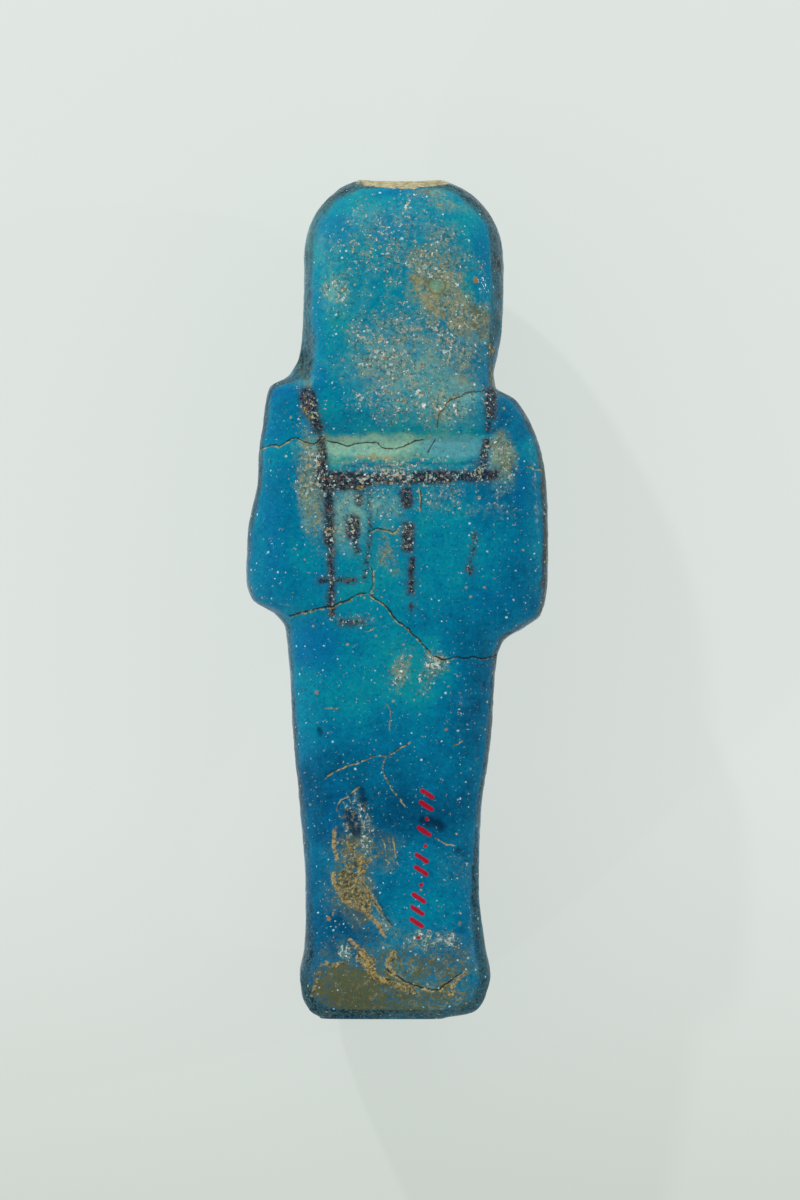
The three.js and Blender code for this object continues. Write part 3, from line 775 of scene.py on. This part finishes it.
def figure_mesh():
    """The figure as a closed grid, with its wear, and the fields that its material reads."""
    across, station, height, on_back = grid()
    scale = np.array([WIDTH, LENGTH, THICKNESS]) / PARTS
    points = np.stack([across, station - PARTS[1] / 2, height], axis=-1) * scale
    normals = normals_of(points)

    x, y, z = np.moveaxis(points, -1, 0)
    facing_back = smooth(-0.35, 0.25, normals[..., 2]) * on_back
    facing_front = smooth(0.1, 0.5, -normals[..., 2])
    spot_x = layered(x, points, (2.7, 11, 0.8), (1.1, 12, 0.4))
    spot_y = layered(y, points, (2.7, 13, 0.8), (1.1, 14, 0.4))
    line_x = layered(x, points, (1.7, 15, 0.2))
    line_y = layered(y, points, (1.7, 16, 0.2))

    def spots(rows):
        return spots_field(spot_x, spot_y, rows) * facing_back

    def sharper_spots(rows):
        return spots_field(line_x, line_y, rows) * facing_back

    def strokes(rows):
        return np.where(facing_back > 0.3, strokes_field(line_x, line_y, rows), -OUTSIDE)

    tan = spots(TAN_SPOTS)
    ridges = strokes(RIDGES)
    worn = spots_field(spot_x, layered(y, points, (1.1, 14, 0.3)), WORN_SPOTS)
    worn *= 1 - smooth(0.8, 1.1, turned(x, z, *CROWN_CHIP))
    side, width, rim = crack_fields(line_x, line_y)
    width, rim = width * facing_back, rim * facing_back
    steep = side_crinkle_and_shade(points, normals[..., 2], station)
    crust = tan * layered(CRUST_HEIGHT, points, (0.9, 4, 0.1), (2, 5, 0.06))
    crust += RIDGE_HEIGHT * smooth(-0.3, 0.2, ridges)
    from_furrow = to_line(line_x, line_y, FURROW)[0] / FURROW_GROOVE["reach"]
    furrow = FURROW_GROOVE["depth"] * np.exp(-(from_furrow**2)) * facing_back
    uneven = layered(0, points, (9, 1, 0.1), (3.2, 2, 0.05), (1.3, 3, 0.03))
    ripples = steep * layered(0, points, (0.8, 6, 0.08), (2.1, 7, 0.08))
    raised = uneven + crust + ripples + spots(FOOT_LIP)
    sunk = grooves(side, width) + pits_and_knobs(x, y) * facing_back + spots(FOOT_RECESS) + furrow
    kept = smooth(0, FADE, station) * smooth(0, FADE, z)
    points = points + normals * ((raised - sunk) * kept)[..., None]
    points[..., 2] = np.maximum(points[..., 2], 0)
    points[..., 1] = np.clip(points[..., 1], -LENGTH / 2, LENGTH / 2)

    paint, strength = paint_field(line_x, line_y, PAINT)
    front, front_strength = paint_field(line_x, line_y, FRONT_PAINT + text_strokes())
    fields = {
        "tone": tone_field(spot_x, spot_y),
        "tan": tan,
        "worn": worn,
        # The steep sides, darkened in the material as painted shade.
        "edge": steep,
        # Dirt and painted shade down the right side.
        "right_grime_and_shade": spots_field(spot_x, spot_y, RIGHT_GRIME_AND_SHADE_SPOTS),
        "blue": spots(BLUE_SPOTS),
        "ochre": spots(OCHRE_SPOTS),
        "pale": sharper_spots(PALE_SPOTS),
        "light": sharper_spots(LIGHT_SPOTS),
        # Speck zones, two of them painted glints on the foot.
        "specks": spots(SPECK_AND_GLINT_SPOTS),
        "paint": np.where(on_back, paint, front),
        "paint_strength": np.where(on_back, strength * facing_back, front_strength * facing_front),
        "smear": strokes(SMEARS),
        "red": strokes_field(x, y, RED_DABS) - OUTSIDE * (1 - facing_back),
        "dots": strokes([(radius, [(at, up), (at + 0.05, up)]) for at, up, radius in DOTS]),
        "ridges": ridges,
        "streak": strokes(STREAKS),
        "ring": np.hypot(x - RING["x"], y - RING["y"]) - RING["radius"] + OUTSIDE * (1 - facing_back),
        "crack_side": side,
        "crack_width": width,
        "crack_rim": rim,
    }
    return closed_mesh(points, fields)


def closed_mesh(points, fields):
    """A mesh of the grid's points, in metres, closed at the foot base and the crown, with the fields."""
    rows, columns = points.shape[:2]
    index = np.arange(rows * columns).reshape(rows, columns)
    right = np.roll(index, -1, axis=1)
    quads = np.stack([index[:-1], right[:-1], right[1:], index[1:]], axis=-1).reshape(-1, 4)
    flat = points.reshape(-1, 3)
    ends = np.array([flat[index[0]].mean(axis=0), flat[index[-1]].mean(axis=0)])
    foot, crown = rows * columns, rows * columns + 1
    fans = [(foot, b, a) for a, b in zip(index[0], right[0])]
    fans += [(crown, a, b) for a, b in zip(index[-1], right[-1])]

    mesh = bpy.data.meshes.new("ushabti_body")
    vertices = np.vstack([flat, ends]) / 1000
    mesh.from_pydata(vertices.tolist(), [], quads.tolist() + [tuple(map(int, f)) for f in fans])
    for name, values in fields.items():
        attribute = mesh.attributes.new(name, "FLOAT", "POINT")
        whole = np.append(values.reshape(-1), [values[0].mean(), values[-1].mean()])
        attribute.data.foreach_set("value", whole.astype(np.float32))
    mesh.shade_smooth()
    mesh.update()
    return mesh


# The materials. Their colours are as seen on a screen, from 0 to 255

GLAZE = [  # the glaze from deep blue to pale green
    (0, (0, 54, 88)),
    (0.2, (0, 88, 126)),
    (0.4, (0, 118, 156)),
    (0.55, (2, 138, 164)),
    (0.7, (20, 150, 158)),
    (0.85, (72, 158, 148)),
    (1, (130, 172, 144)),
]
GRAINS = [  # the grains where the body shows
    (0, (128, 118, 82)),
    (0.25, (176, 164, 132)),
    (0.5, (196, 184, 180)),
    (0.7, (150, 190, 194)),
    (0.88, (192, 210, 208)),
    (1, (244, 248, 244)),
]
CRINKLED_SIDES_AND_SHADE = [  # the crinkled sides, darkened as painted shade
    (0.15, (2, 10, 18)),
    (0.4, (2, 26, 42)),
    (0.62, (6, 44, 60)),
    (0.85, (16, 68, 80)),
    (1, (88, 122, 122)),
]
# Brown-black crumbs: dirt, and painted shade on the right side
GRIME_AND_SHADE_CRUMBS = [(0.38, (22, 24, 20)), (0.5, (46, 46, 38)), (0.64, (88, 84, 68)), (0.76, (170, 164, 142))]
CRUST = [(0.3, (40, 42, 38)), (0.45, (96, 92, 62)), (0.6, (160, 144, 98)), (0.75, (210, 196, 158))]
PAINT_GRAINS = [(0.3, (26, 16, 20)), (0.7, (60, 42, 50)), (1, (112, 92, 80))]
BRIGHT_BLUE = (0, 104, 162)
BLEACHED = (160, 204, 178)
PALE_BLUE = (100, 170, 184)
OLIVE = (98, 94, 38)
OCHRE = (176, 164, 114)
BODY = ((138, 124, 86), (202, 190, 148))
RED = ((150, 4, 24), (200, 16, 44))
RIDGE = ((118, 96, 48), (186, 160, 104))
CRACK_RIM = ((112, 100, 52), (186, 172, 124))
# The floor's glow, dimmer towards the bottom as painted shade
FLOOR_GLOW_AND_SHADE = ((173, 179, 172), (198, 203, 199))


def linear(colour):
    """The linear colour that Blender works with."""
    parts = [value / 255 for value in colour]
    return tuple(c / 12.92 if c <= 0.04045 else ((c + 0.055) / 1.055) ** 2.4 for c in parts) + (1,)


class Nodes:
    """Adds nodes to a material, each taking numbers, colours or the outputs of other nodes."""

    def __init__(self, name):
        self.material = bpy.data.materials.new(name)
        self.material.use_nodes = True
        self.tree = self.material.node_tree
        self.tree.nodes.clear()
        place = self.add("ShaderNodeTexCoord").outputs["Object"]
        self.place = self.add("ShaderNodeVectorMath", {0: place, 3: 1000}, operation="SCALE").outputs[0]

    def add(self, kind, inputs=None, **settings):
        node = self.tree.nodes.new(kind)
        for key, value in settings.items():
            setattr(node, key, value)
        for key, value in (inputs or {}).items():
            self.fill(node.inputs[key], value)
        return node

    def fill(self, socket, value):
        if isinstance(value, bpy.types.NodeSocket):
            self.tree.links.new(value, socket)
        else:
            socket.default_value = value

    def field(self, name):
        return self.add("ShaderNodeAttribute", attribute_name=name).outputs["Fac"]

    def math(self, operation, a, b=0, c=0):
        return self.add("ShaderNodeMath", {0: a, 1: b, 2: c}, operation=operation).outputs[0]

    def rest(self, value):
        """What is left of 1."""
        return self.math("SUBTRACT", 1, value)

    def moved(self, shift):
        """The place, moved so that two patterns of one kind differ."""
        return self.add("ShaderNodeVectorMath", {0: self.place, 1: (shift, shift * 1.7, -shift)}).outputs[0]

    def noise(self, size, detail, rough, shift=0):
        """Noise from 0 to 1, most of it between 0.3 and 0.7, with its size in millimetres."""
        inputs = {"Vector": self.moved(shift), "Scale": 1 / size, "Detail": detail, "Roughness": rough}
        return self.add("ShaderNodeTexNoise", inputs).outputs["Fac"]

    def off(self, noise, amount):
        """Noise about 0, from minus half the amount to half the amount."""
        return self.math("MULTIPLY_ADD", noise, amount, -amount / 2)

    def cells(self, size, shift):
        """Distance to the nearest of scattered points, in cells, and two random values for that point."""
        node = self.add("ShaderNodeTexVoronoi", {"Vector": self.moved(shift), "Scale": 1 / size})
        random = self.add("ShaderNodeSeparateColor", {0: node.outputs["Color"]})
        return node.outputs["Distance"], random.outputs[0], random.outputs[1]

    def step(self, value, low, high):
        inputs = {"Value": value, "From Min": low, "From Max": high}
        return self.add("ShaderNodeMapRange", inputs, interpolation_type="SMOOTHSTEP").outputs["Result"]

    def mix(self, share, a, b):
        """A mix of two colours, each a colour as seen on a screen or the output of a node."""
        node = self.add("ShaderNodeMix", data_type="RGBA")
        for place, value in ((0, share), (6, a), (7, b)):
            self.fill(node.inputs[place], linear(value) if isinstance(value, tuple) else value)
        return node.outputs[2]

    def ramp(self, value, stops):
        node = self.add("ShaderNodeValToRGB", {0: value})
        marks = node.color_ramp.elements
        while len(marks) < len(stops):
            marks.new(0.5)
        for mark, (place, colour) in zip(marks, stops):
            mark.position = place
            mark.color = linear(colour)
        return node.outputs[0]

    def total(self, first, *others):
        for other in others:
            first = self.math("ADD", first, other)
        return first

    def times(self, first, *others):
        for other in others:
            first = self.math("MULTIPLY", first, other)
        return first


def glaze_colour(n):
    """Soft clouds of blue, with bleached and ochre places."""
    clouds = [n.off(n.broad, 0.5), n.off(n.medium, 0.3), n.off(n.fine, 0.24), n.off(n.grain, 0.3)]
    colour = n.ramp(n.total(n.field("tone"), *clouds), GLAZE)
    blue = n.total(n.field("blue"), n.off(n.broad, 0.5), n.off(n.medium, 0.4))
    colour = n.mix(n.times(n.step(blue, 0.2, 1), 0.8), colour, BRIGHT_BLUE)
    uneven = n.total(1, n.off(n.medium, 2), n.off(n.fine, 1.2))
    for name, share, bleached in (("pale", 0.8, BLEACHED), ("light", 0.75, PALE_BLUE)):
        here = n.step(n.times(n.field(name), uneven), 0.1, 1.1)
        colour = n.mix(n.times(here, share), colour, bleached)
    dusty = n.total(uneven, n.off(n.grain, 1.6), n.off(n.cells(0.4, 53)[1], 0.9))
    stained = n.step(n.times(n.field("ochre"), dusty), 0.1, 1.1)
    thin = n.total(n.times(n.field("tone"), 1.2), n.off(n.noise(1.4, 3, 0.6, 91), 0.9), n.off(n.grain, 0.7))
    return n.mix(n.times(stained, 0.9), colour, n.mix(n.step(thin, 0.42, 0.92), OLIVE, OCHRE))


def side_layer(n, colour):
    """Crinkled glaze where the surface turns down at the sides, darkened there as painted shade, and
    brown-black crumbs with more painted shade down the right side.
    """
    edge = n.field("edge")
    crinkle = n.math("ABSOLUTE", n.off(n.noise(0.9, 4, 0.75, 3), 2))
    shade = n.total(n.rest(n.times(crinkle, 2.2)), n.off(n.grain, 0.5))
    amount = n.step(n.total(edge, n.off(n.fine, 0.5), n.off(n.medium, 0.5)), 0.32, 0.92)
    patches = n.step(n.total(n.noise(9, 3, 0.6, 37), n.off(n.medium, 0.6)), 0.38, 0.64)
    # Painted shade: the steep sides take the dark crinkled colours.
    colour = n.mix(n.times(amount, n.math("MULTIPLY_ADD", patches, 0.35, 0.6)), colour, n.ramp(shade, CRINKLED_SIDES_AND_SHADE))
    # Partly dirt, partly painted shade: brown-black crumbs where the right side turns down.
    grime_and_shade = n.total(n.field("right_grime_and_shade"), n.off(n.broad, 1.8), n.off(n.medium, 1.6), n.off(n.fine, 0.8))
    turned_down = n.step(n.total(edge, n.off(n.medium, 0.8)), 0.05, 0.6)
    crumbs = n.ramp(n.total(n.grain, n.off(n.fine, 0.6)), GRIME_AND_SHADE_CRUMBS)
    return n.mix(n.times(n.step(grime_and_shade, 0.4, 1.1), turned_down, 0.9), colour, crumbs), crinkle, amount


def paint_layer(n, colour):
    """Dark brown lines with a purple fringe, worn to grains."""
    ragged = n.total(n.off(n.noise(0.7, 4, 0.7, 19), 1.2), n.off(n.grain, 1))
    inside, strength = n.field("paint"), n.field("paint_strength")
    fringe = n.times(n.step(n.total(inside, n.times(ragged, 0.6)), -0.9, 0.3), strength)
    colour = n.mix(n.times(fringe, 0.55), colour, (56, 76, 104))
    flaked = n.step(n.total(n.noise(0.42, 2, 0.7, 29), n.times(strength, 0.24)), 0.5, 0.68)
    paint = n.times(n.step(n.total(inside, ragged), -0.3, 0.25), flaked)
    return n.mix(n.times(paint, 0.9), colour, n.ramp(n.cells(0.32, 31)[1], PAINT_GRAINS)), paint, ragged


def grain_layer(n, colour, painted):
    """Grains where the glaze is pitted: dense in the speckled places, and a few white specks everywhere,
    partly painted glints.
    """
    density = n.total(n.field("specks"), n.times(painted, 0.5))
    patchy = n.times(density, n.step(n.total(n.noise(3.4, 3, 0.6, 61), n.off(n.fine, 1)), 0.25, 0.65))
    clear = n.rest(painted)
    mottled = n.mix(n.step(n.noise(1.3, 3, 0.6, 97), 0.4, 0.62), (92, 146, 148), (152, 164, 142))
    dust = n.step(n.noise(0.28, 2, 0.8, 67), 0.34, 0.56)
    colour = n.mix(n.times(n.step(patchy, 0.1, 1.1), clear, dust, 0.9), colour, mottled)
    colour = n.mix(n.times(n.cells(0.34, 3)[1], clear, 0.24), colour, (0, 60, 92))
    dark = n.step(n.total(n.noise(0.46, 2, 0.75, 71), n.times(patchy, 0.12)), 0.62, 0.65)
    dark = n.times(dark, n.math("MULTIPLY_ADD", n.step(patchy, 0, 0.5), 0.25, 0.4))
    colour = n.mix(dark, colour, n.mix(n.step(patchy, 0, 0.4), (0, 64, 98), (26, 88, 96)))
    less = n.times(n.field("edge"), -0.08)
    light = n.step(n.total(n.noise(0.46, 2, 0.75, 73), n.times(patchy, 0.16), less), 0.67, 0.7)
    colour = n.mix(n.times(light, 0.92), colour, n.ramp(n.cells(0.36, 29)[1], GRAINS))
    # White-blue star specks: grains, partly painted glints.
    away, pick, kind = n.cells(1.3, 9)
    near = n.math("SUBTRACT", n.total(away, n.off(n.grain, 0.3)), n.times(kind, 0.1))
    speck_and_glint = n.times(n.step(near, 0.08, 0.03), n.step(pick, 0.72, 0.62))
    speck_and_glint_colour = n.mix(n.step(kind, 0.8, 0.85), (176, 220, 230), (168, 150, 110))
    return n.mix(n.times(speck_and_glint, 0.9), colour, speck_and_glint_colour), n.math("MAXIMUM", light, speck_and_glint)


def crust_layer(n, colour):
    """Tan crust, breaking up into crumbs at its edges, and the bare body on the crown."""
    crumbs = n.total(n.off(n.fine, 0.9), n.off(n.grain, 0.9), n.off(n.medium, 0.7))
    crust = n.step(n.total(n.field("tan"), crumbs), 0.42, 0.62)
    crust_colour = n.ramp(n.total(n.noise(0.5, 4, 0.7, 51), n.off(n.grain, 0.6)), CRUST)
    colour = n.mix(n.times(crust, 0.9), colour, crust_colour)
    bare = n.total(n.field("worn"), n.off(n.fine, 1), n.off(n.grain, 0.5), n.off(n.medium, 0.5))
    bare = n.step(bare, 0.4, 0.5)
    body = n.mix(n.step(n.total(n.fine, n.off(n.grain, 0.6)), 0.35, 0.6), *BODY)
    return n.mix(bare, colour, body), n.math("MAXIMUM", crust, bare)


def dab_layer(n, colour, ragged):
    """Smears, streaks, red dabs, a small ring, ridges of crust and tan dots."""

    def inside(name, raggedness, low, high):
        return n.step(n.total(n.field(name), n.times(ragged, raggedness)), low, high)

    colour = n.mix(n.times(inside("smear", 1, -0.4, 0.4), 0.7), colour, (4, 22, 56))
    colour = n.mix(n.times(inside("streak", 0.4, -0.25, 0.15), 0.6), colour, (0, 84, 122))
    red = inside("red", 0.22, -0.08, 0.06)
    colour = n.mix(n.times(red, 0.96), colour, n.mix(n.fine, *RED))
    colour = n.mix(n.times(inside("ring", 0.5, 0.1, -0.5), 0.45), colour, (92, 158, 140))
    ring = n.math("ABSOLUTE", n.total(n.field("ring"), n.times(ragged, 0.2)))
    colour = n.mix(n.times(n.step(ring, 0.2, 0.05), 0.6), colour, (112, 98, 40))
    ridge = n.times(inside("ridges", 0.7, -0.2, 0.1), 0.85)
    colour = n.mix(ridge, colour, n.mix(n.step(n.grain, 0.4, 0.6), *RIDGE))
    return n.mix(n.times(inside("dots", 0.3, -0.12, 0.08), 0.85), colour, (164, 122, 62)), red


def crack_layer(n, colour):
    """Cracks: a broken ochre rim on one side, and a thin dark line."""
    side = n.total(n.field("crack_side"), n.off(n.noise(0.8, 3, 0.6, 43), 0.5))
    width = n.field("crack_width")
    there = n.step(width, 0.03, 0.08)
    beads = n.step(n.total(n.noise(0.6, 2, 0.7, 83), n.off(n.grain, 0.4)), 0.4, 0.52)
    lower = n.math("SUBTRACT", n.math("ABSOLUTE", n.total(side, 0.12)), n.times(width, 0.5))
    rim = n.times(n.step(lower, 0.1, 0), there, n.field("crack_rim"), beads)
    ochre = n.mix(n.step(n.fine, 0.4, 0.6), *CRACK_RIM)
    colour = n.mix(n.math("MINIMUM", n.times(rim, 0.85), 1), colour, ochre)
    dark = n.step(n.noise(1.7, 3, 0.7, 103), 0.34, 0.44)
    middle = n.math("SUBTRACT", n.math("ABSOLUTE", side), n.times(width, 0.2))
    line = n.times(n.step(middle, 0.09, 0), there, dark, n.step(width, 0.08, 0.16))
    return n.mix(n.times(line, 0.85), colour, (14, 26, 26)), line


def glaze_material():
    n = Nodes("glazed_faience")
    n.grain = n.noise(0.4, 2, 0.75)
    n.fine = n.noise(0.8, 3, 0.6, 7)
    n.medium = n.noise(2.4, 4, 0.6, 11)
    n.broad = n.noise(8.5, 3, 0.55, 23)

    colour = glaze_colour(n)
    colour, ripple, steep = side_layer(n, colour)
    colour, painted, ragged = paint_layer(n, colour)
    colour, specks = grain_layer(n, colour, painted)
    colour, crust = crust_layer(n, colour)
    colour, red = dab_layer(n, colour, ragged)
    colour, cracked = crack_layer(n, colour)

    matt = n.math("MAXIMUM", n.math("MAXIMUM", crust, n.times(specks, 0.8)), n.times(steep, 0.3))
    gloss = n.math("MULTIPLY_ADD", n.medium, 0.1, 0.04)
    dusty = n.step(n.total(n.field("specks"), n.field("ochre"), n.off(n.medium, 0.6)), 0.1, 0.7)
    roughness = n.total(gloss, n.times(matt, 0.4), n.times(dusty, 0.4), n.times(painted, 0.2))
    height = n.total(
        n.times(n.noise(1.4, 3, 0.6, 7), 0.6),
        n.times(n.noise(0.5, 3, 0.6, 13), n.math("MULTIPLY_ADD", dusty, 0.2, 0.05)),
        n.times(n.grain, n.math("MULTIPLY_ADD", crust, 0.6, 0.04)),
        n.times(ripple, n.times(steep, -1.2)),
        n.times(specks, -0.2),
        n.times(painted, 0.06),
        n.times(cracked, -0.7),
        n.times(red, 0.12),
    )
    bump = n.add("ShaderNodeBump", {"Height": height, "Strength": 0.9, "Distance": 0.0003}).outputs[0]
    shader = n.add("ShaderNodeBsdfPrincipled", {"Base Color": colour, "Roughness": roughness, "Normal": bump})
    shader.inputs["IOR"].default_value = 1.16
    out = n.add("ShaderNodeOutputMaterial")
    n.tree.links.new(shader.outputs[0], out.inputs[0])
    return n.material


def floor_material():
    """A pale floor, lit softly from within, with a painted shadow of dim glow under the figure, and painted
    shade that makes it a little darker beyond the feet.
    """
    n = Nodes("floor")
    place = n.add("ShaderNodeSeparateXYZ", {0: n.place})
    # Painted shade: the glow is dimmer beyond the feet.
    glow = n.mix(n.step(place.outputs["Y"], -120, -20), *FLOOR_GLOW_AND_SHADE)
    # Painted shadow: inside an oval under the figure the glow falls to a dark grey.
    across = n.math("POWER", n.math("ABSOLUTE", n.times(place.outputs["X"], 1 / 12)), 4)
    along = n.math("POWER", n.math("ABSOLUTE", n.times(place.outputs["Y"], 1 / 55)), 4)
    under = n.step(n.total(across, along), 1, 0.1)
    glow = n.mix(n.times(under, 0.8), glow, (40, 44, 44))
    shader = n.add("ShaderNodeBsdfPrincipled", {"Emission Color": glow})
    shader.inputs["Base Color"].default_value = linear((124, 127, 125))
    shader.inputs["Roughness"].default_value = 0.9
    shader.inputs["Emission Strength"].default_value = 1
    shader.inputs["Specular IOR Level"].default_value = 0
    out = n.add("ShaderNodeOutputMaterial")
    n.tree.links.new(shader.outputs[0], out.inputs[0])
    return n.material


# The scene, with its places and sizes in millimetres and its lamps in watts

LAMPS = [  # name, place, side, power
    ("key", (-430, 780, 400), 36, 4.4),
    ("fill", (900, 120, 240), 30, 1.5),
    ("low", (-560, -620, 260), 30, 1.3),
]
LIT_PLACE = (0, 0, 15)
SKY_STRENGTH = {"From Min": 0.5, "From Max": 0.95, "To Min": 0.92, "To Max": 0.3}
SKY_COLOUR = (0.93, 1, 0.97, 1)
FLOOR_HALF = 3000
CAMERA = dict(x=0.35, y=-0.2, level=18, distance=1400, view_height=165.9, sensor=36, furthest=20000)


def put(name, data):
    made = bpy.data.objects.new(name, data)
    bpy.context.scene.collection.objects.link(made)
    return made


def lamp(name, position, side, power):
    light = bpy.data.lights.new(name, "AREA")
    light.size = side / 1000
    light.energy = power
    made = put(name, light)
    made.location = Vector(position) / 1000
    made.rotation_euler = (Vector(LIT_PLACE) - Vector(position)).to_track_quat("-Z", "Y").to_euler()


def studio():
    reach = FLOOR_HALF / 1000
    corners = [(-reach, -reach, 0), (reach, -reach, 0), (reach, reach, 0), (-reach, reach, 0)]
    floor_mesh = bpy.data.meshes.new("floor")
    floor_mesh.from_pydata(corners, [], [(0, 1, 2, 3)])
    floor_mesh.materials.append(floor_material())
    floor = put("floor", floor_mesh)
    for row in LAMPS:
        lamp(*row)
    sky()


def camera():
    """A camera straight above the figure."""
    data = bpy.data.cameras.new("camera")
    data.sensor_width = CAMERA["sensor"]
    data.lens = CAMERA["sensor"] * CAMERA["distance"] / CAMERA["view_height"]
    data.clip_end = CAMERA["furthest"] / 1000
    made = put("camera", data)
    place = (CAMERA["x"], CAMERA["y"], CAMERA["level"] + CAMERA["distance"])
    made.location = [value / 1000 for value in place]
    bpy.context.scene.camera = made


def sky():
    """A pale tent of light all round, dark straight above the figure."""
    world = bpy.data.worlds.new("studio")
    world.use_nodes = True
    tree = world.node_tree
    place = tree.nodes.new("ShaderNodeTexCoord").outputs["Generated"]
    split = tree.nodes.new("ShaderNodeSeparateXYZ")
    tree.links.new(place, split.inputs[0])
    above = tree.nodes.new("ShaderNodeMapRange")
    above.interpolation_type = "SMOOTHSTEP"
    for socket, value in SKY_STRENGTH.items():
        above.inputs[socket].default_value = value
    tree.links.new(split.outputs["Z"], above.inputs["Value"])
    background = tree.nodes["Background"]
    background.inputs["Color"].default_value = SKY_COLOUR
    tree.links.new(above.outputs["Result"], background.inputs["Strength"])
    bpy.context.scene.world = world


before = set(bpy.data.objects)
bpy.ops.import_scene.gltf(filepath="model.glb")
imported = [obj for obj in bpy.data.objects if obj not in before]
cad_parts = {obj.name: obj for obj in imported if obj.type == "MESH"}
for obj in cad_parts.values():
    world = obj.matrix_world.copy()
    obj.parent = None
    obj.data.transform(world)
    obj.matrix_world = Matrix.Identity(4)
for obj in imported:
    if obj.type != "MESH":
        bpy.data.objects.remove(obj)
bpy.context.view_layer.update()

body_mesh = figure_mesh()
body_mesh.materials.append(glaze_material())
body = put("faience_body", body_mesh)
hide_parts("ushabti")
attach(body, "root")
studio()
camera()
bpy.context.scene.view_settings.view_transform = "Standard"

bpy.context.view_layer.update()
